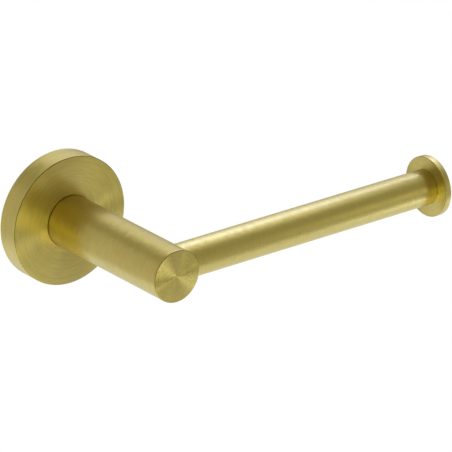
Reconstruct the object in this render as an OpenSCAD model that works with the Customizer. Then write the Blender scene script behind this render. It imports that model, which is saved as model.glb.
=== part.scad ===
// Toilet paper holder: a wall flange, a post straight out of it, and an open-ended bar.
// Millimetres. The wall is the plane y = 0 and the room lies on its -Y side. The origin is where
// the post's axis meets the wall, +Z is up, and the bar points along +X. Screw threads are drawn
// as plain cylinders of their nominal diameter.

/* [Flange] */
// Outer diameter of the round flange cover
flange_d = 55; // [55:1:62]
// Distance from the wall to the flange's front face
flange_t = 10; // [9.5:0.5:14]
// Radius of the flange's front edge
flange_edge = 0.4; // [0.2:0.1:0.8]

/* [Post] */
// Outer diameter of the post
post_d = 22; // [21:0.5:24]
// Distance from the wall to the post's end face
post_reach = 81; // [72:1:100]
// Wall thickness of the post's tube
post_wall = 1.5; // [1:0.1:2]

/* [Bar] */
// Outer diameter of the bar
bar_d = 15; // [14:0.5:16]
// Distance from the post's axis to the inner face of the end disc
bar_reach = 137; // [120:1:170]
// Distance from the post's end face back to the bar's axis
bar_inset = 11; // [10.5:0.5:16]
// Wall thickness of the bar's tube
bar_wall = 1; // [0.8:0.1:1.5]

/* [End disc] */
// Diameter of the disc that stops the roll
disc_d = 25.6; // [20:0.2:34]
// Thickness of that disc
disc_t = 3; // [3:0.5:6]

/* [Wall bracket] */
// Diameter of the bracket where it lies on the wall
bracket_d = 40; // [38:0.5:40]
// Thickness of the bracket
bracket_t = 5; // [4.5:0.25:5.5]
// Distance between the centres of the two wall screw slots
slot_pitch = 26; // [25.5:0.25:26.5]
// Width of each slot
slot_w = 4.5; // [4.25:0.25:5]
// End-to-end length of each slot
slot_len = 8; // [7.5:0.25:8.25]

/* [Hidden] */

$fn = 96;
GOLD = "#b9a862";
ZINC = "#9da0a3";
STEEL = "#85888c";

flange_r = flange_d / 2;
post_r = post_d / 2;
bar_r = bar_d / 2;
disc_r = disc_d / 2;

// Gap round a screw or pin in its hole, the length of a cut that goes right through, and how far
// a shorter cut starts outside the solid
slip = 0.02;
through = 100;
over = 1;

// Small broken edges, as radii
fine_edge = 0.25;
cap_edge = 0.3;

// The bracket widens away from the wall, so what presses on its bevel is drawn to the wall
bevel = 0.3;
bracket_front_r = bracket_d / 2 + bevel * bracket_t;
bracket_web = 1.5;
bracket_recess_r = 6.3;
head_slot_r = 4.1;
head_slot_depth = 2;

// The cover is a cup that drops over the bracket and hooks behind its bevel at the top
cover_wall = 3;
cover_gap = 1;
cavity_r = bracket_front_r + cover_gap;
cavity_t = flange_t - cover_wall;
seat_depth = 0.5;
seat_seam = 0.2;
hook_t = 2;
hook_gap = 0.03;
hook_arc = 60;
hook_root = 1;
back_edge = 0.2;

// M4 set screw with a truncated cone point, 2 mm hexagon
set_r = 2;
set_len = 6;
set_off_wall = 3.5;
set_hole_gap = 0.03;
set_hole_lead = 2;
set_point_r = 0.6;
set_point_gap = 0.05;
set_hex = 2;
set_hex_depth = 2.2;
set_chamfer = 0.3;
set_tip = bracket_r_at(set_off_wall + set_point_r) + set_point_gap;

// M6 button head screw, spring washer and dowel that hold the post on the cover
m6_r = 3;
m6_clear_r = 3.2;
post_screw_len = 12;
head_r = 5.25;
head_h = 3.3;
head_rim = 0.4;
head_hex = 4;
head_hex_depth = 2;
washer_r = 5.9;
washer_t = 1.6;
washer_gap = 0.05;
washer_split = 0.8;
split_slant = 20;
pin_r = 1.5;
pin_len = 6;
pin_off_axis = 6.5;

// The post starts at the bottom of the cover's seat and ends behind its cap
post_inner_r = post_r - post_wall;
post_foot = flange_t - seat_depth;
cap_t = 1.5;
root_plug_len = 12;
root_hole_len = 10;
bar_off_wall = post_reach - bar_inset;

// The bar's end lies inside the post's wall, on the anchor block
bar_inner_r = bar_r - bar_wall;
bar_sunk = 0.05;
bar_foot = sqrt(pow(post_r, 2) - pow(bar_r, 2)) - bar_sunk;
anchor_margin = 0.5;
anchor_half = bar_r + anchor_margin;
anchor_hole_len = 14;
bar_stud_len = 20;
bar_stud_shift = 2;
bar_plug_len = 14;
bar_plug_hole_len = 10;

// M5 stud between the bar's end plug and the disc
m5_r = 2.5;
disc_stud_len = 10;
disc_front = 1;
disc_hole_len = disc_t - disc_front;

// Radius of the bracket's bevel at a distance from the wall
function bracket_r_at(d) = bracket_d / 2 + bevel * d;

// Quarter circle of radius e round the point [r, h], from angle a
function quarter(r, h, e, a) = e == 0 ? [[r, h]]
    : [for (i = [0 : 22.5 : 90]) [r + e * cos(a + i), h + e * sin(a + i)]];

// Circumscribed radius of a hexagon from its width across flats
function hex_r(flats) = flats / 2 / cos(30);

// Children drawn with +Z away from the wall, +X along the bar and +Y up
module off_wall(d = 0) translate([0, -d, 0]) rotate([90, 0, 0]) children();

// Children drawn with +Z along the bar, from its axis at a distance x from the post's axis
module along_bar(x = 0) translate([x, -bar_off_wall, 0]) rotate([0, 90, 0]) children();

// Children drawn with +Z straight down, on the set screw's axis
module set_axis() translate([0, -set_off_wall, 0]) rotate([180, 0, 0]) children();

// Solid disc from z = 0 to t, with rounded edges of radius low and high
module disc(r, t, low, high) {
    rotate_extrude()
        polygon(concat([[0, 0]], quarter(r - low, low, low, -90),
            quarter(r - high, t - high, high, 0), [[0, t]]));
}

// Tube from z = 0 to len
module tube(r, inner_r, len, foot_edge = 0, top_edge = 0) {
    rotate_extrude()
        polygon([[inner_r, 0], [r - foot_edge, 0], [r, foot_edge], [r, len - top_edge],
            [r - top_edge, len], [inner_r, len]]);
}

// Straight slot of width 2 * r along X, centred on the origin, from z = 0 to t
module slot(r, len, t) {
    half = len / 2 - r;
    for (side = [-1, 1])
        translate([side * half, 0, 0])
            cylinder(h = t, r = r);
    translate([-half, -r, 0])
        cube([2 * half, 2 * r, t]);
}

// Solid plug of radius r and a length, with a tapped blind hole from the far end
module tapped_plug(r, len, hole_r, hole_len) {
    difference() {
        cylinder(h = len, r = r);
        translate([0, 0, len - hole_len])
            cylinder(h = hole_len + over, r = hole_r + slip);
    }
}

// Zinc-plated disc on the wall: two slots for wall screws and a recess for the post screw's head
module wall_bracket() color(ZINC) off_wall() difference() {
    cylinder(h = bracket_t, r1 = bracket_d / 2, r2 = bracket_front_r);
    translate([0, 0, bracket_web])
        cylinder(h = bracket_t, r = bracket_recess_r);
    for (side = [-1, 1])
        translate([side * slot_pitch / 2, 0, -over]) {
            slot(slot_w / 2, slot_len, bracket_t + 2 * over);
            translate([0, 0, bracket_t - head_slot_depth + over])
                slot(head_slot_r, slot_len - slot_w + 2 * head_slot_r, head_slot_depth + over);
        }
}

// Hook inside the cover's top, behind the bracket's bevel
module cover_hook() {
    rotate([0, 0, 90 - hook_arc / 2])
        rotate_extrude(angle = hook_arc)
            polygon([[bracket_r_at(0) + hook_gap, 0], [cavity_r + hook_root, 0],
                [cavity_r + hook_root, hook_t], [bracket_r_at(hook_t) + hook_gap, hook_t]]);
}

// Round cup on the wall, with the post's seat in its front face
module flange_cover() color(GOLD) difference() {
    off_wall() {
        difference() {
            rotate_extrude()
                polygon(concat([[0, 0], [flange_r - back_edge, 0], [flange_r, back_edge]],
                    quarter(flange_r - flange_edge, flange_t - flange_edge, flange_edge, 0),
                    [[0, flange_t]]));
            translate([0, 0, -over])
                cylinder(h = cavity_t + over, r = cavity_r);
            translate([0, 0, post_foot])
                cylinder(h = seat_depth + over, r = post_r + seat_seam);
            cylinder(h = through, r = m6_clear_r);
            translate([0, pin_off_axis, 0])
                cylinder(h = through, r = pin_r + slip);
        }
        cover_hook();
    }
    set_axis()
        translate([0, 0, cavity_r - set_hole_lead])
            cylinder(h = flange_r, r = set_r + set_hole_gap);
}

// Set screw under the rim, its cone point on the bracket's bevel and its hexagon facing down
module set_screw() color(STEEL) set_axis() translate([0, 0, set_tip]) difference() {
    rotate_extrude()
        polygon([[0, 0], [set_point_r, 0], [set_r, set_r - set_point_r],
            [set_r, set_len - set_chamfer], [set_r - set_chamfer, set_len], [0, set_len]]);
    translate([0, 0, set_len - set_hex_depth])
        cylinder(h = set_hex_depth + over, r = hex_r(set_hex), $fn = 6);
}

// Tube of the post, with a hole in its side for the bar's end
module post_tube() color(GOLD) difference() {
    off_wall(post_foot)
        tube(post_r, post_inner_r, post_reach - cap_t - post_foot, fine_edge);
    along_bar()
        cylinder(h = through, r = bar_r);
}

// Tapped plug in the wall end of the post
module post_root_plug() color(STEEL) off_wall(post_foot) difference() {
    cylinder(h = root_plug_len, r = post_inner_r);
    translate([0, 0, -over])
        cylinder(h = root_hole_len + over, r = m6_r + slip);
    translate([0, pin_off_axis, -over])
        cylinder(h = pin_len - (post_foot - cavity_t) + over, r = pin_r + slip);
}

// Button head screw from inside the cover into the root plug
module post_screw() color(STEEL) off_wall(cavity_t - washer_t) {
    cylinder(h = post_screw_len, r = m6_r);
    difference() {
        rotate([180, 0, 0])
            rotate_extrude()
                polygon(concat([[0, 0], [head_r, 0]], [for (a = [0 : 15 : 60])
                    [head_r * cos(a), head_rim + (head_h - head_rim) * sin(a) / sin(60)]], [[0, head_h]]));
        translate([0, 0, -head_h - over])
            cylinder(h = head_hex_depth + over, r = hex_r(head_hex), $fn = 6);
    }
}

// Split spring washer under the button head
module post_lock_washer() color(STEEL) off_wall(cavity_t - washer_t) difference() {
    cylinder(h = washer_t, r = washer_r);
    translate([0, 0, -over])
        cylinder(h = washer_t + 2 * over, r = m6_r + washer_gap);
    rotate([0, split_slant, 0])
        translate([-washer_split / 2, 0, -washer_r])
            cube([washer_split, 2 * washer_r, 2 * washer_r]);
}

// Dowel that stops the post from turning on the cover
module post_locating_pin() color(STEEL) off_wall(cavity_t)
    translate([0, pin_off_axis, 0])
        cylinder(h = pin_len, r = pin_r);

// Cap on the free end of the post, with a spigot in the tube
module post_end_cap() color(GOLD) {
    spigot_len = bar_inset - cap_t - anchor_half;
    off_wall(post_reach - cap_t)
        disc(post_r, cap_t, 0, cap_edge);
    off_wall(post_reach - cap_t - spigot_len)
        cylinder(h = spigot_len, r = post_inner_r);
}

// Tapped block inside the post that the bar is drawn against
module bar_anchor_block() color(STEEL) difference() {
    off_wall(bar_off_wall - anchor_half)
        cylinder(h = 2 * anchor_half, r = post_inner_r);
    along_bar(bar_foot)
        cylinder(h = through, r = bar_r);
    along_bar(bar_foot - anchor_hole_len)
        cylinder(h = through, r = m6_r + slip);
}

// Stud between the anchor block and the bar's root plug
module bar_stud() color(STEEL) along_bar(bar_foot - bar_stud_len / 2 - bar_stud_shift)
    cylinder(h = bar_stud_len, r = m6_r);

// Tapped plug in the post end of the bar
module bar_root_plug() color(STEEL) along_bar(bar_foot + bar_plug_len)
    rotate([180, 0, 0])
        tapped_plug(bar_inner_r, bar_plug_len, m6_r, bar_plug_hole_len);

// Tube of the bar that carries the roll
module bar_tube() color(GOLD) along_bar(bar_foot)
    tube(bar_r, bar_inner_r, bar_reach - bar_foot, 0, fine_edge);

// Tapped plug in the free end of the bar
module bar_end_plug() color(STEEL) along_bar(bar_reach - bar_plug_len)
    tapped_plug(bar_inner_r, bar_plug_len, m5_r, bar_plug_hole_len);

// Stud that holds the end disc on the bar
module disc_stud() color(STEEL) along_bar(bar_reach + disc_hole_len - disc_stud_len)
    cylinder(h = disc_stud_len, r = m5_r);

// Round stop at the free end of the bar, with a blind hole for its stud
module end_disc() color(GOLD) along_bar(bar_reach) difference() {
    disc(disc_r, disc_t, fine_edge, fine_edge);
    translate([0, 0, -over])
        cylinder(h = disc_hole_len + over, r = m5_r + slip);
}

wall_bracket();
flange_cover();
set_screw();
post_tube();
post_root_plug();
post_screw();
post_lock_washer();
post_locating_pin();
post_end_cap();
bar_anchor_block();
bar_stud();
bar_root_plug();
bar_tube();
bar_end_plug();
disc_stud();
end_disc();
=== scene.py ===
import math

import bmesh
import bpy
from mathutils import Matrix, Vector


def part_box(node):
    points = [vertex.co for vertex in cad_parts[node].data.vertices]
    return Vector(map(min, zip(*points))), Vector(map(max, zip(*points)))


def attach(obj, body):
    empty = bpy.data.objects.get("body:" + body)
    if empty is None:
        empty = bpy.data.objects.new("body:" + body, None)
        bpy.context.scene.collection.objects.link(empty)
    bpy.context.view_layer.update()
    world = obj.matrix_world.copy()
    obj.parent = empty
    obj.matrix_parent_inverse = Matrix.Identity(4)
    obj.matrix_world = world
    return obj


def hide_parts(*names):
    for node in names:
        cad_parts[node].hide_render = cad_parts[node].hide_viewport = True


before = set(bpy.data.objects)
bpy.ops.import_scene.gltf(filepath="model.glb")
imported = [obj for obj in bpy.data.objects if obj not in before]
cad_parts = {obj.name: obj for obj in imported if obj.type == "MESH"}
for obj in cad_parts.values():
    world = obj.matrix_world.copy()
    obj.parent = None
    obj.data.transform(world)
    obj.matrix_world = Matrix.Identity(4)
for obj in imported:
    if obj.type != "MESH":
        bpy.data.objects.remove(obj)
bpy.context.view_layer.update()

# Looks of the wall-mounted toilet paper holder. The gold pieces, the wall bracket and the threaded
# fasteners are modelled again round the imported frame, and the other CAD nodes get a finish.
# Metres: the wall is the plane y = 0, the room lies on its -Y side, +Z is up, the bar points along +X.
MM = 0.001

# ---------------------------------------------------------------- sizes

# The lower and upper corners of the CAD nodes
COVER_LO, COVER_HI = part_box("flange_cover")
BRACKET_LO, BRACKET_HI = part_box("wall_bracket")
CAP_LO, CAP_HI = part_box("post_end_cap")
POST_LO, POST_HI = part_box("post_tube")
BAR_LO, BAR_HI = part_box("bar_tube")
DISC_LO, DISC_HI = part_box("end_disc")
SET_LO, SET_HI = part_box("set_screw")
SCREW_LO, SCREW_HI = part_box("post_screw")
WASHER_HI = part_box("post_lock_washer")[1]
STUD_LO, STUD_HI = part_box("bar_stud")
DISC_STUD_LO, DISC_STUD_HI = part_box("disc_stud")

# Flange cover: a cup, its broken edges, the seat for the post and the hook inside its top
COVER_R = COVER_HI.x
COVER_T = -COVER_LO.y
COVER_WALL = 3 * MM
COVER_GAP = 1 * MM
COVER_EDGE = 0.4 * MM
BACK_EDGE = 0.2 * MM
SEAT_SEAM = 0.2 * MM
SEAT_CREST = 0.08 * MM
SCREW_HOLE_R = 3.2 * MM
HOOK_T = 2 * MM
HOOK_ARC = 60
HOOK_ROOT = 1 * MM

# Wall bracket: a disc whose radius grows by BEVEL for each millimetre away from the wall. Its slots
# lie SLOT_OFFSET off the middle, and each has two round ends, SLOT_HALF off its own middle.
BRACKET_R = BRACKET_HI.x
BRACKET_T = -BRACKET_LO.y
BEVEL = 0.3
BRACKET_FOOT_R = BRACKET_R - BEVEL * BRACKET_T
BRACKET_WEB = 1.5 * MM
RECESS_R = 6.3 * MM
SLOT_OFFSET = 13 * MM
SLOT_R = 2.25 * MM
SLOT_HALF = 1.75 * MM
HEAD_SLOT_R = 4.1 * MM
HEAD_SLOT_DEPTH = 2 * MM

# The hollow behind the cover, which the bracket fits into
CAVITY_R = BRACKET_R + COVER_GAP
CAVITY_T = COVER_T - COVER_WALL

# Post, bar and end disc. FOOT and TOP are where a piece starts and ends along its own axis.
POST_R = POST_HI.x
POST_FOOT = -POST_HI.y
POST_TOP = -POST_LO.y
POST_REACH = -CAP_LO.y
POST_WALL = 1.5 * MM
POST_INNER_R = POST_R - POST_WALL
BAR_R = BAR_HI.z
BAR_OUT = -(BAR_LO.y + BAR_HI.y) / 2
BAR_WALL = 1 * MM
BAR_SEAM = 0.1 * MM
DISC_R = DISC_HI.z
DISC_T = DISC_HI.x - DISC_LO.x
DISC_FRONT = 1 * MM
FINE_EDGE = 0.25 * MM
CAP_EDGE = 0.3 * MM

# Set screw: M4 with a cone point and a 2 mm hexagon
SET_R = SET_HI.x
SET_FOOT = -SET_HI.z
SET_TOP = -SET_LO.z
SET_OUT = -(SET_LO.y + SET_HI.y) / 2
SET_POINT_R = 0.6 * MM
SET_CHAMFER = 0.3 * MM
SET_HEX = 2 * MM
SET_HEX_DEPTH = 2.2 * MM
SET_HEX_CONE = 0.3 * MM

# Post screw: M6 with a 4 mm hexagon in a button head, whose dome is an arc of HEAD_DOME degrees
HEAD_SEAT = -WASHER_HI.y
HEAD_R = SCREW_HI.x
HEAD_H = 3.3 * MM
HEAD_RIM = 0.4 * MM
HEAD_DOME = 60
HEAD_HEX = 4 * MM
HEAD_HEX_DEPTH = 2 * MM
HEAD_NECK = 0.3 * MM

# Metric threads: radius and pitch, and the chamfer at the ends of the M6 and M5 ones
M4_PITCH = 0.7 * MM
M5_R, M5_PITCH = 2.5 * MM, 0.8 * MM
M6_R, M6_PITCH = 3 * MM, 1 * MM
THREAD_CHAMFER = 0.5 * MM

# Gaps: round a stud in its hole, and round the set screw and the hook
STUD_GAP = 0.02 * MM
LOOSE_GAP = 0.03 * MM

# Where the turned shapes' local +Z points: away from the wall, and straight down
OFF_WALL = Matrix.Rotation(math.pi / 2, 4, "X")
DOWN_AT_SCREW = Matrix.Translation((0, -SET_OUT, 0)) @ Matrix.Rotation(math.pi, 4, "X")


def along_bar(x):
    """Local +Z along the bar, from its axis at a distance x from the post's axis."""
    return Matrix.Translation((x, -BAR_OUT, 0)) @ Matrix.Rotation(math.pi / 2, 4, "Y")


# ---------------------------------------------------------------- mesh helpers

def arc(r, h, radius, start, turn, steps=8):
    """Points of an arc round (r, h), from a start through a turn in degrees."""
    angles = [math.radians(start + turn * i / steps) for i in range(steps + 1)]
    return [(r + radius * math.cos(a), h + radius * math.sin(a)) for a in angles]


def rings_to_mesh(rings, closed):
    """Skins a row of rings of equal count, each maybe a single point, with quads and triangles."""
    bm = bmesh.new()
    verts = [[bm.verts.new(p) for p in ring] for ring in rings]
    count = max(len(ring) for ring in verts)
    following = verts[1:] + verts[:1] if closed else verts[1:]
    for a, b in zip(verts, following):
        if len(a) == 1 and len(b) == 1:
            continue
        for i in range(count):
            j = (i + 1) % count
            corners = [a[i % len(a)], a[j % len(a)], b[j % len(b)], b[i % len(b)]]
            bm.faces.new(list(dict.fromkeys(corners)))
    bmesh.ops.recalc_face_normals(bm, faces=bm.faces)
    return bm


def lathe(profile, place, segments):
    """A closed profile of (radius, height) points turned about local Z."""
    turns = [2 * math.pi * i / segments for i in range(segments)]
    rings = []
    for r, h in profile:
        ring = [place @ Vector((r * math.cos(t), r * math.sin(t), h)) for t in turns]
        rings.append(ring if r > 0 else ring[:1])
    return rings_to_mesh(rings, closed=True)


def prism(outline, low, high, place):
    """A flat outline of (x, y) points, extruded from one height to another."""
    bm = bmesh.new()
    bottom = [bm.verts.new(place @ Vector((x, y, low))) for x, y in outline]
    top = [bm.verts.new(place @ Vector((x, y, high))) for x, y in outline]
    bm.faces.new(bottom)
    bm.faces.new(top)
    for i in range(len(outline)):
        j = (i + 1) % len(outline)
        bm.faces.new([bottom[i], bottom[j], top[j], top[i]])
    bmesh.ops.recalc_face_normals(bm, faces=bm.faces)
    return bm


def stadium(x, half, r):
    """Outline of a straight slot centred at x, with round ends of radius r."""
    return arc(x + half, 0, r, -90, 180, steps=24) + arc(x - half, 0, r, 90, 180, steps=24)


def to_object(name, bm):
    """Moves a bmesh into a new object in the scene."""
    mesh = bpy.data.meshes.new(name)
    bm.to_mesh(mesh)
    bm.free()
    obj = bpy.data.objects.new(name, mesh)
    bpy.context.scene.collection.objects.link(obj)
    return obj


def combine(obj, tool_bm, operation):
    """Applies a boolean with a tool that is then thrown away."""
    tool = to_object("tool", tool_bm)
    modifier = obj.modifiers.new("cut", "BOOLEAN")
    modifier.operation = operation
    modifier.solver = "EXACT"
    modifier.object = tool
    done = obj.evaluated_get(bpy.context.evaluated_depsgraph_get())
    mesh = bpy.data.meshes.new_from_object(done)
    obj.modifiers.clear()
    old = obj.data
    obj.data = mesh
    bpy.data.meshes.remove(old)
    tool_mesh = tool.data
    bpy.data.objects.remove(tool)
    bpy.data.meshes.remove(tool_mesh)


# How much of a face's normal has to be along the piece's axis for a bevel, and for an end
BEVEL_LEAN = 0.2
END_LEAN = 0.9


def paint_ends(mesh, axis, ends, edges):
    """Adds a material for the flat faces across an axis, and one for the bevels round them."""
    mesh.materials.append(ends)
    mesh.materials.append(edges)
    for face in mesh.polygons:
        lean = abs(face.normal["XYZ".index(axis)])
        face.material_index = 1 if lean > END_LEAN else 2 if lean > BEVEL_LEAN else 0


def finish_piece(obj, body, replaced, sides, sharp=32):
    """Shades a piece, gives it its main material, puts it on its body and hides the CAD node it
    replaces.
    """
    obj.data.shade_smooth()
    obj.data.set_sharp_from_angle(angle=math.radians(sharp))
    obj.data.materials.clear()
    obj.data.materials.append(sides)
    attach(obj, body)
    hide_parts(replaced)


# ---------------------------------------------------------------- materials

class Nodes:
    """Short calls for building a material's node tree."""

    def __init__(self, name):
        self.material = bpy.data.materials.new(name)
        self.material.use_nodes = True
        self.tree = self.material.node_tree
        self.shader = self.tree.nodes["Principled BSDF"]

    def add(self, kind, inputs=(), **settings):
        """A new node, with its settings, and its inputs as values or sockets."""
        node = self.tree.nodes.new(kind)
        for key, value in settings.items():
            setattr(node, key, value)
        for key, value in dict(inputs).items():
            self.put(node.inputs[key], value)
        return node

    def put(self, socket, value):
        """Links a socket into an input, or sets the input's value."""
        if isinstance(value, bpy.types.NodeSocket):
            self.tree.links.new(value, socket)
        else:
            socket.default_value = value

    def math(self, operation, a, b=0.0):
        return self.add("ShaderNodeMath", {0: a, 1: b}, operation=operation).outputs[0]

    def vector(self, operation, a, b=(0, 0, 0)):
        return self.add("ShaderNodeVectorMath", {0: a, 1: b}, operation=operation).outputs[0]

    def scaled(self, vector, factor):
        return self.add("ShaderNodeVectorMath", {0: vector, 3: factor}, operation="SCALE").outputs[0]

    def noise(self, vector, scale, detail):
        inputs = {"Vector": vector, "Scale": scale, "Detail": detail}
        return self.add("ShaderNodeTexNoise", inputs).outputs["Fac"]

    def spread(self, value, low, high):
        """Maps the middle of a noise's range to low and high."""
        return self.add("ShaderNodeMapRange", {"Value": value, "From Min": 0.3, "From Max": 0.7,
                                               "To Min": low, "To Max": high}).outputs[0]


def brushed(name, colour, axis, centre, roughness=0.33, anisotropy=0.6, rotation=0.0,
            width=0.4 * MM, tone=0.05, tilt=0.05):
    """Metal brushed in circles round an axis that runs along X, Y or Z through a centre.

    The finest strokes are about as wide as width says. They differ in tone and have a shallow height.
    Slightly wider ones tilt the surface along the stroke, which frays the edges of reflections.
    """
    nodes = Nodes(name)
    place = nodes.vector("SUBTRACT", nodes.add("ShaderNodeTexCoord").outputs["Object"], centre)
    part = nodes.add("ShaderNodeSeparateXYZ", {0: place}).outputs
    across = [part[k] for k in "XYZ" if k != axis]
    squares = [nodes.math("POWER", c, 2) for c in across]
    # Kept off zero, so that the division has a result at the centre
    radius = nodes.math("MAXIMUM", nodes.math("SQRT", nodes.math("ADD", *squares)), 0.01 * MM)
    # Changes across the strokes both on a side and on a flat end
    line = nodes.math("ADD", radius, part[axis])
    turn = [nodes.math("DIVIDE", c, radius) for c in across]

    def strokes(wide, sweep, detail=1.0):
        """Noise that changes fast across the strokes and slowly along them."""
        where = nodes.add("ShaderNodeCombineXYZ", {
            0: nodes.math("MULTIPLY", line, 1 / wide),
            1: nodes.math("MULTIPLY", turn[0], sweep),
            2: nodes.math("MULTIPLY", turn[1], sweep)}).outputs[0]
        return nodes.noise(where, scale=1.0, detail=detail)

    fine = strokes(wide=width, sweep=2.5, detail=2.0)
    lean = strokes(wide=1.4 * width, sweep=5.0)
    bands = strokes(wide=6 * width, sweep=1.2)
    nodes.put(nodes.shader.inputs["Base Color"],
              nodes.scaled(colour, nodes.spread(fine, 1 - tone, 1 + tone)))
    nodes.put(nodes.shader.inputs["Roughness"],
              nodes.spread(bands, roughness - 0.03, roughness + 0.03))
    nodes.shader.inputs["Metallic"].default_value = 1.0
    nodes.shader.inputs["Anisotropic"].default_value = anisotropy
    nodes.shader.inputs["Anisotropic Rotation"].default_value = rotation
    tangent = nodes.add("ShaderNodeTangent", direction_type="RADIAL", axis=axis).outputs[0]
    nodes.put(nodes.shader.inputs["Tangent"], tangent)
    bump = nodes.add("ShaderNodeBump", {"Height": fine, "Strength": 0.25, "Distance": 0.008 * MM})
    slope = nodes.scaled(tangent, nodes.spread(lean, -tilt, tilt))
    leaned = nodes.vector("ADD", bump.outputs[0], slope)
    nodes.put(nodes.shader.inputs["Normal"], nodes.vector("NORMALIZE", leaned))
    return nodes.material


def plated(name, colour):
    """Zinc-plated steel: satin, with soft cloudy patches and a fine grain."""
    nodes = Nodes(name)
    place = nodes.add("ShaderNodeTexCoord").outputs["Object"]
    cloud = nodes.noise(place, scale=180.0, detail=4.0)
    grain = nodes.noise(place, scale=4500.0, detail=2.0)
    nodes.put(nodes.shader.inputs["Base Color"], nodes.scaled(colour, nodes.spread(cloud, 0.86, 1.08)))
    nodes.put(nodes.shader.inputs["Roughness"], nodes.spread(cloud, 0.46, 0.34))
    nodes.shader.inputs["Metallic"].default_value = 1.0
    bump = nodes.add("ShaderNodeBump", {"Height": grain, "Strength": 0.35, "Distance": 0.02 * MM})
    nodes.put(nodes.shader.inputs["Normal"], bump.outputs[0])
    return nodes.material


GOLD = (0.62, 0.51, 0.19)
# Gold darkened for the bevels: painted shade that draws the dark line along the broken edges
PAINTED_EDGE_SHADE = (0.3, 0.22, 0.07)
STEEL = (0.52, 0.52, 0.53)
ZINC = (0.62, 0.64, 0.67)

# The axis that a metal is brushed round, and a point on it
ROUND_POST = ("Y", (0, 0, 0))
ROUND_BAR = ("X", (0, -BAR_OUT, 0))
ROUND_SET = ("Z", (0, -SET_OUT, 0))

# Flat ends stretch their reflections along the radius, which draws the star pattern
RADIAL = 0.25

gold_cover = brushed("brushed_gold_cover", GOLD, *ROUND_POST)
gold_post = brushed("brushed_gold_post", GOLD, *ROUND_POST, tone=0.06, tilt=0.06)
gold_bar = brushed("brushed_gold_bar", GOLD, *ROUND_BAR, tone=0.04, tilt=0.04)
gold_face = brushed("brushed_gold_face", GOLD, *ROUND_POST, roughness=0.32, anisotropy=1.0,
                    rotation=RADIAL, tone=0.1, tilt=0.02)
gold_cap = brushed("brushed_gold_cap", GOLD, *ROUND_POST, roughness=0.27, anisotropy=1.0,
                   rotation=RADIAL, tone=0.08, tilt=0.004)
# The bevels' materials carry the darkened gold, painted shade for the dark line round the edges of the
# cover, cap and end disc
gold_edge = brushed("gold_edge_painted_shade", PAINTED_EDGE_SHADE, *ROUND_POST, roughness=0.25)
gold_rim = brushed("gold_rim_painted_shade", PAINTED_EDGE_SHADE, *ROUND_BAR, roughness=0.25)
gold_stop = brushed("brushed_gold_stop", GOLD, *ROUND_BAR, roughness=0.3, anisotropy=0.95,
                    rotation=RADIAL, tilt=0.02)
zinc = plated("zinc_plated_steel", ZINC)
TURNED = {"roughness": 0.35, "anisotropy": 0.5, "width": 0.15 * MM}
turned_y = brushed("turned_steel_y", STEEL, *ROUND_POST, **TURNED)
turned_x = brushed("turned_steel_x", STEEL, *ROUND_BAR, **TURNED)
STAINLESS = {"roughness": 0.25, "anisotropy": 0.3, "width": 0.1 * MM}
screw_y = brushed("stainless_y", STEEL, *ROUND_POST, **STAINLESS)
screw_x = brushed("stainless_x", STEEL, *ROUND_BAR, **STAINLESS)
screw_z = brushed("stainless_z", STEEL, *ROUND_SET, **STAINLESS)


# ---------------------------------------------------------------- gold pieces and bracket

def flange():
    """The cup on the wall: seat for the post, hook inside the top, hole for the set screw below."""
    seat_r = POST_R + SEAT_SEAM
    profile = ([(CAVITY_R, 0), (COVER_R - BACK_EDGE, 0), (COVER_R, BACK_EDGE)]
               + arc(COVER_R - COVER_EDGE, COVER_T - COVER_EDGE, COVER_EDGE, 0, 90)
               + arc(seat_r + SEAT_CREST, COVER_T - SEAT_CREST, SEAT_CREST, 90, 90, steps=3)
               + [(seat_r, POST_FOOT), (SCREW_HOLE_R, POST_FOOT), (SCREW_HOLE_R, CAVITY_T),
                  (CAVITY_R, CAVITY_T)])
    cover = to_object("flange_cover_shell", lathe(profile, OFF_WALL, segments=360))
    combine(cover, hook(), "UNION")
    combine(cover, set_screw_drill(), "DIFFERENCE")
    finish_piece(cover, "holder", "flange_cover", gold_cover)
    paint_ends(cover.data, "Y", gold_face, gold_edge)


def set_screw_drill():
    """The set screw's hole with a 45 degree countersink, as a solid to cut away."""
    low = CAVITY_R - 2 * MM
    sink = COVER_R - 0.5 * MM
    hole_r = SET_R + LOOSE_GAP
    sink_r = SET_R + 1 * MM
    high = sink + sink_r - hole_r
    profile = [(0, low), (hole_r, low), (hole_r, sink), (sink_r, high), (0, high)]
    return lathe(profile, DOWN_AT_SCREW, segments=64)


def hook():
    """A lip inside the cover's top, which drops behind the bracket's bevel."""
    steps = 48
    inner = BRACKET_FOOT_R + LOOSE_GAP
    outer = CAVITY_R + HOOK_ROOT
    section = [(inner, 0), (outer, 0), (outer, HOOK_T), (inner + BEVEL * HOOK_T, HOOK_T)]
    bm = bmesh.new()
    rows = []
    for i in range(steps + 1):
        t = math.radians(90 - HOOK_ARC / 2 + HOOK_ARC * i / steps)
        points = [OFF_WALL @ Vector((r * math.cos(t), r * math.sin(t), h)) for r, h in section]
        rows.append([bm.verts.new(p) for p in points])
    for a, b in zip(rows, rows[1:]):
        for i in range(len(section)):
            j = (i + 1) % len(section)
            bm.faces.new([a[i], a[j], b[j], b[i]])
    bm.faces.new(rows[0])
    bm.faces.new(rows[-1])
    bmesh.ops.recalc_face_normals(bm, faces=bm.faces)
    return bm


def post():
    """The post's sleeve, with a hole in its side that the bar enters."""
    profile = ([(POST_INNER_R, POST_FOOT)]
               + arc(POST_R - FINE_EDGE, POST_FOOT + FINE_EDGE, FINE_EDGE, -90, 90, steps=5)
               + [(POST_R, POST_TOP), (POST_INNER_R, POST_TOP)])
    sleeve = to_object("post_sleeve", lathe(profile, OFF_WALL, segments=300))
    hole_r = BAR_R + BAR_SEAM
    drill = [(0, 0), (hole_r, 0), (hole_r, 2 * POST_R), (0, 2 * POST_R)]
    combine(sleeve, lathe(drill, along_bar(0), segments=200), "DIFFERENCE")
    finish_piece(sleeve, "holder", "post_tube", gold_post)


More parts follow.
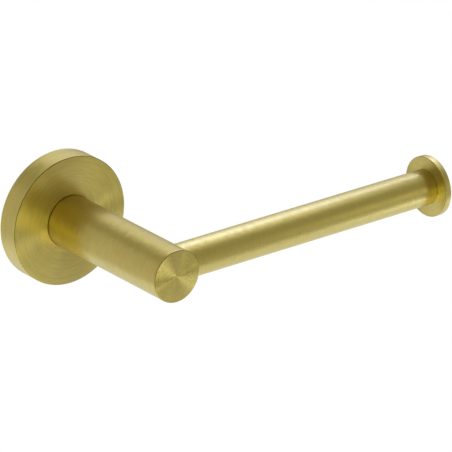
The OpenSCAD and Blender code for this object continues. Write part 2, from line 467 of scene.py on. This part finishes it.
def cap():
    """The post's end: a disc with a spigot inside the sleeve."""
    spigot = -CAP_HI.y
    profile = ([(0, spigot), (POST_INNER_R, spigot), (POST_INNER_R, POST_TOP), (POST_R, POST_TOP)]
               + arc(POST_R - CAP_EDGE, POST_REACH - CAP_EDGE, CAP_EDGE, 0, 90)
               + [(0, POST_REACH)])
    disc = to_object("post_cap_disc", lathe(profile, OFF_WALL, segments=300))
    finish_piece(disc, "holder", "post_end_cap", gold_cover)
    paint_ends(disc.data, "Y", gold_cap, gold_edge)


def bar():
    """The tube that carries the roll."""
    foot = BAR_LO.x
    top = BAR_HI.x
    inner = BAR_R - BAR_WALL
    profile = ([(inner, foot), (BAR_R, foot)]
               + arc(BAR_R - FINE_EDGE, top - FINE_EDGE, FINE_EDGE, 0, 90, steps=5)
               + [(inner, top)])
    sleeve = to_object("bar_sleeve", lathe(profile, along_bar(0), segments=240))
    finish_piece(sleeve, "holder", "bar_tube", gold_bar)


def end_stop():
    """The disc at the bar's free end, with a blind hole for its stud."""
    hole_r = DISC_STUD_HI.z + STUD_GAP
    hole_h = DISC_T - DISC_FRONT
    rim = DISC_R - FINE_EDGE
    profile = ([(0, hole_h), (hole_r, hole_h), (hole_r, 0)]
               + arc(rim, FINE_EDGE, FINE_EDGE, -90, 90)
               + arc(rim, DISC_T - FINE_EDGE, FINE_EDGE, 0, 90)
               + [(0, DISC_T)])
    stop = to_object("bar_end_stop", lathe(profile, along_bar(DISC_LO.x), segments=300))
    finish_piece(stop, "holder", "end_disc", gold_bar)
    paint_ends(stop.data, "X", gold_stop, gold_rim)


def bracket():
    """The plated disc on the wall, with rounded edges, two countersunk slots and a recess."""
    slant = math.degrees(math.atan(BEVEL))
    # The front edge's arc lies this many radii in, so that it runs into the bevel
    inset = 1.35
    profile = ([(0, 0)]
               + arc(BRACKET_FOOT_R - FINE_EDGE, FINE_EDGE, FINE_EDGE, -90, 90 - slant)
               + arc(BRACKET_R - inset * FINE_EDGE, BRACKET_T - FINE_EDGE, FINE_EDGE, -slant, 90 + slant)
               + arc(RECESS_R + FINE_EDGE, BRACKET_T - FINE_EDGE, FINE_EDGE, 90, 90)
               + [(RECESS_R, BRACKET_WEB), (0, BRACKET_WEB)])
    plate = to_object("bracket_plate", lathe(profile, OFF_WALL, segments=240))
    over = 1 * MM
    for side in (-1, 1):
        shank = stadium(side * SLOT_OFFSET, SLOT_HALF, SLOT_R)
        combine(plate, prism(shank, -over, BRACKET_T + over, OFF_WALL), "DIFFERENCE")
        head = stadium(side * SLOT_OFFSET, SLOT_HALF, HEAD_SLOT_R)
        seat = BRACKET_T - HEAD_SLOT_DEPTH
        combine(plate, prism(head, seat, BRACKET_T + over, OFF_WALL), "DIFFERENCE")
    finish_piece(plate, "holder", "wall_bracket", zinc)


# ---------------------------------------------------------------- threaded fasteners

# Shape of a thread, in pitches: its depth, its crest and flanks, the run-out at its two ends
THREAD_DEPTH = 0.54
CREST = 0.125
FLANKS = 0.625
RUN_OUT = 0.5
RINGS_PER_PITCH = 14


def hexagon(flats):
    """Distance from the middle of a hexagon to its outline, as a function of the angle."""
    return lambda t: flats / 2 / math.cos(t % (math.pi / 3) - math.pi / 6)


def threaded(name, r, pitch, low, high, place, start, end, replaced, material, body="holder",
             segments=48):
    """A screw with a helical thread from low to high, and the rings that close it at both ends.

    A ring is (size, height). The size is a radius, or 0 for a point, or a hexagon.
    """
    turns = [2 * math.pi * i / segments for i in range(segments)]

    def ring(size, h):
        if size == 0:
            return [place @ Vector((0, 0, h))]
        points = []
        for t in turns:
            reach = size(t) if callable(size) else size
            points.append(place @ Vector((reach * math.cos(t), reach * math.sin(t), h)))
        return points

    def thread(h):
        run_out = RUN_OUT * pitch
        fade = max(0.0, min(1.0, (h - low) / run_out, (high - h) / run_out))

        def reach(t):
            phase = (h / pitch - t / (2 * math.pi)) % 1
            groove = min(1.0, max(0.0, (1 - abs(2 * phase - 1) - CREST) / FLANKS))
            return r - THREAD_DEPTH * pitch * groove * fade

        return ring(reach, h)

    count = round((high - low) / pitch * RINGS_PER_PITCH)
    rings = [ring(*step) for step in start]
    rings += [thread(low + (high - low) * i / count) for i in range(count + 1)]
    rings += [ring(*step) for step in end]
    obj = to_object(name, rings_to_mesh(rings, closed=False))
    finish_piece(obj, body, replaced, material, sharp=50)


def set_screw():
    """M4 set screw with a truncated cone point and a hexagon socket."""
    socket = SET_TOP - SET_HEX_DEPTH
    threaded("set_screw_m4", SET_R, M4_PITCH, SET_FOOT + SET_R - SET_POINT_R, SET_TOP - SET_CHAMFER,
             DOWN_AT_SCREW,
             start=[(0, SET_FOOT), (SET_POINT_R, SET_FOOT)],
             end=[(SET_R - SET_CHAMFER, SET_TOP), (hexagon(SET_HEX), SET_TOP),
                  (hexagon(SET_HEX), socket), (0, socket - SET_HEX_CONE)],
             replaced="set_screw", material=screw_z, body="set_screw_body")


def post_screw():
    """M6 button head screw, whose head faces the wall."""
    top = HEAD_SEAT - HEAD_H
    socket = top + HEAD_HEX_DEPTH
    tip = -SCREW_LO.y
    dome_h = (HEAD_H - HEAD_RIM) / math.sin(math.radians(HEAD_DOME))
    dome = []
    steps = 10
    for i in range(steps + 1):
        a = math.radians(HEAD_DOME * (1 - i / steps))
        dome.append((HEAD_R * math.cos(a), HEAD_SEAT - HEAD_RIM - dome_h * math.sin(a)))
    threaded("post_screw_m6", M6_R, M6_PITCH, HEAD_SEAT + HEAD_NECK, tip - THREAD_CHAMFER, OFF_WALL,
             start=[(0, socket), (hexagon(HEAD_HEX), socket), (hexagon(HEAD_HEX), top)] + dome
             + [(HEAD_R, HEAD_SEAT), (M6_R, HEAD_SEAT)],
             end=[(M6_R - THREAD_CHAMFER, tip), (0, tip)],
             replaced="post_screw", material=screw_y, segments=72)


def stud(name, r, pitch, low, high, replaced):
    """A stud on the bar's axis, threaded from end to end."""
    end_r = r - THREAD_CHAMFER
    threaded(name, r, pitch, low + THREAD_CHAMFER, high - THREAD_CHAMFER, along_bar(0),
             start=[(0, low), (end_r, low)], end=[(end_r, high), (0, high)],
             replaced=replaced, material=screw_x)


def paint_frame():
    """Gives each CAD node that stays in view its own finish."""
    finishes = {"post_root_plug": turned_y, "bar_anchor_block": turned_y, "post_lock_washer": screw_y,
                "post_locating_pin": screw_y, "bar_root_plug": turned_x, "bar_end_plug": turned_x}
    for node, material in finishes.items():
        for slot in bpy.data.objects[node].material_slots:
            slot.material = material


flange()
post()
cap()
bar()
end_stop()
bracket()
set_screw()
post_screw()
stud("bar_stud_m6", M6_R, M6_PITCH, STUD_LO.x, STUD_HI.x, "bar_stud")
stud("disc_stud_m5", M5_R, M5_PITCH, DISC_STUD_LO.x, DISC_STUD_HI.x, "disc_stud")
paint_frame()


# ---------------------------------------------------------------- studio

# What the lights face, and how far the floor lies below it
OBJECT_AT = Vector((0.06, -0.04, 0))
FLOOR_DROP = 0.7
FLOOR_HALF = 12

# How bright the floor and the room look in the object's reflections
FLOOR_GLOW = (0.45, 0.44, 0.28)
ROOM_GLOW = (0.37, 0.36, 0.22)


def toward(azimuth, elevation):
    """Direction from the object. Azimuth is 0 in front of the wall and 90 where the bar points."""
    return Vector((math.sin(azimuth) * math.cos(elevation), -math.cos(azimuth) * math.cos(elevation),
                   math.sin(elevation)))


def camera():
    """Stands where the object is seen from its upper left front."""
    azimuth, elevation, roll = map(math.radians, (-38.107, 23.069, 0.239))
    target = Vector((0.06198, -0.033, -0.0106))
    distance = 2.0682
    back = toward(azimuth, elevation)
    right = (-back).cross(Vector((0, 0, 1))).normalized()
    up = right.cross(-back)
    x = right * math.cos(roll) + up * math.sin(roll)
    y = up * math.cos(roll) - right * math.sin(roll)
    data = bpy.data.cameras.new("camera")
    data.lens = 403.65
    data.sensor_width = 36
    data.clip_start, data.clip_end = 0.05, 50
    obj = bpy.data.objects.new("camera", data)
    bpy.context.scene.collection.objects.link(obj)
    turn = Matrix((x, y, back)).transposed().to_4x4()
    obj.matrix_world = Matrix.Translation(target + back * distance) @ turn
    bpy.context.scene.camera = obj


def floor():
    """A plain floor, white in the picture and dimmer in the object's reflections."""
    nodes = Nodes("pale_floor")
    white = nodes.add("ShaderNodeEmission", {"Color": (1, 1, 1, 1), "Strength": 1.0}).outputs[0]
    dim = nodes.add("ShaderNodeEmission", {"Color": (*FLOOR_GLOW, 1), "Strength": 1.0}).outputs[0]
    seen = nodes.add("ShaderNodeLightPath").outputs["Is Camera Ray"]
    mixed = nodes.add("ShaderNodeMixShader", {0: seen, 1: dim, 2: white}).outputs[0]
    nodes.put(nodes.tree.nodes["Material Output"].inputs["Surface"], mixed)
    mesh = bpy.data.meshes.new("floor")
    corners = [(-1, -1), (1, -1), (1, 1), (-1, 1)]
    mesh.from_pydata([(x * FLOOR_HALF, y * FLOOR_HALF, -FLOOR_DROP) for x, y in corners], [],
                     [(0, 1, 2, 3)])
    mesh.materials.append(nodes.material)
    obj = bpy.data.objects.new("floor", mesh)
    bpy.context.scene.collection.objects.link(obj)


def panel(name, place, turn, width, height, radiance):
    """A soft light of a given brightness, kept out of the picture itself."""
    data = bpy.data.lights.new(name, "AREA")
    data.shape = "RECTANGLE"
    data.size, data.size_y = width, height
    peak = max(radiance)
    data.color = [c / peak for c in radiance]
    # The watts that give an area light this radiance
    data.energy = peak * math.pi * width * height
    light = bpy.data.objects.new(name, data)
    bpy.context.scene.collection.objects.link(light)
    light.matrix_world = Matrix.Translation(place) @ turn
    light.visible_camera = False


def softbox(name, azimuth, elevation, width, height, radiance):
    """A panel that faces the object, with its width and height as seen from one metre away."""
    distance = 1.1
    direction = toward(math.radians(azimuth), math.radians(elevation))
    turn = direction.to_track_quat("Z", "Y").to_matrix().to_4x4()
    panel(name, OBJECT_AT + direction * distance, turn, width * distance, height * distance, radiance)


def floor_panel(name, azimuth, start, end, width, radiance):
    """A panel just over the floor, facing up, that runs along an azimuth from start to end."""
    lift = 0.01
    a = math.radians(azimuth)
    middle = (start + end) / 2
    place = OBJECT_AT + Vector((middle * math.sin(a), -middle * math.cos(a), lift - FLOOR_DROP))
    turn = Matrix.Rotation(a, 4, "Z") @ Matrix.Rotation(math.pi, 4, "X")
    panel(name, place, turn, width, end - start, radiance)


def lights():
    """Softboxes round the object, two panels on the floor, and the room's own glow."""
    # Name, azimuth, elevation, width, height, and radiance in red, green and blue
    softbox("key_core", 129, 44, 0.45, 0.45, (1.0, 1.25, 2.65))
    softbox("key_wide", 137, 28, 0.9, 0.8, (0.5, 0.52, 0.6))
    softbox("high", 108, 58, 0.8, 0.4, (0.72, 0.73, 0.7))
    softbox("high_rear", 165, 48, 0.5, 0.5, (0.3, 0.31, 0.3))
    softbox("rear", -175, -15, 0.4, 0.6, (0.45, 0.48, 0.57))
    softbox("rear_left", -140, 5, 0.5, 1.0, (0.27, 0.27, 0.3))
    softbox("rear_low", -152, -38, 0.6, 0.5, (0.25, 0.26, 0.3))
    softbox("front", 13, -10, 0.3, 0.25, (1.4, 1.5, 1.3))
    softbox("front_left", -22, -8, 0.7, 0.3, (1.15, 1.15, 0.3))
    softbox("front_high", -8, 14, 0.5, 0.5, (0.4, 0.32, 0.02))
    softbox("front_spot", 46, 3, 0.2, 0.25, (0.7, 0.7, 0.5))
    softbox("front_slit", 3, -31, 0.3, 0.08, (2.6, 2.7, 2.4))
    softbox("low_strip", 66, -31, 0.3, 0.22, (2.1, 2.35, 2.85))
    # Name, azimuth, start, end, width and radiance
    floor_panel("table", 0, -0.9, 0.9, 1.8, (0.48, 0.52, 0.64))
    floor_panel("warm_floor", -55, 0, 4, 0.8, (0.68, 0.72, 0.03))
    world = bpy.data.worlds.new("studio")
    bpy.context.scene.world = world
    world.use_nodes = True
    world.node_tree.nodes["Background"].inputs["Color"].default_value = (*ROOM_GLOW, 1)


camera()
floor()
lights()
bpy.context.scene.view_settings.view_transform = "Standard"
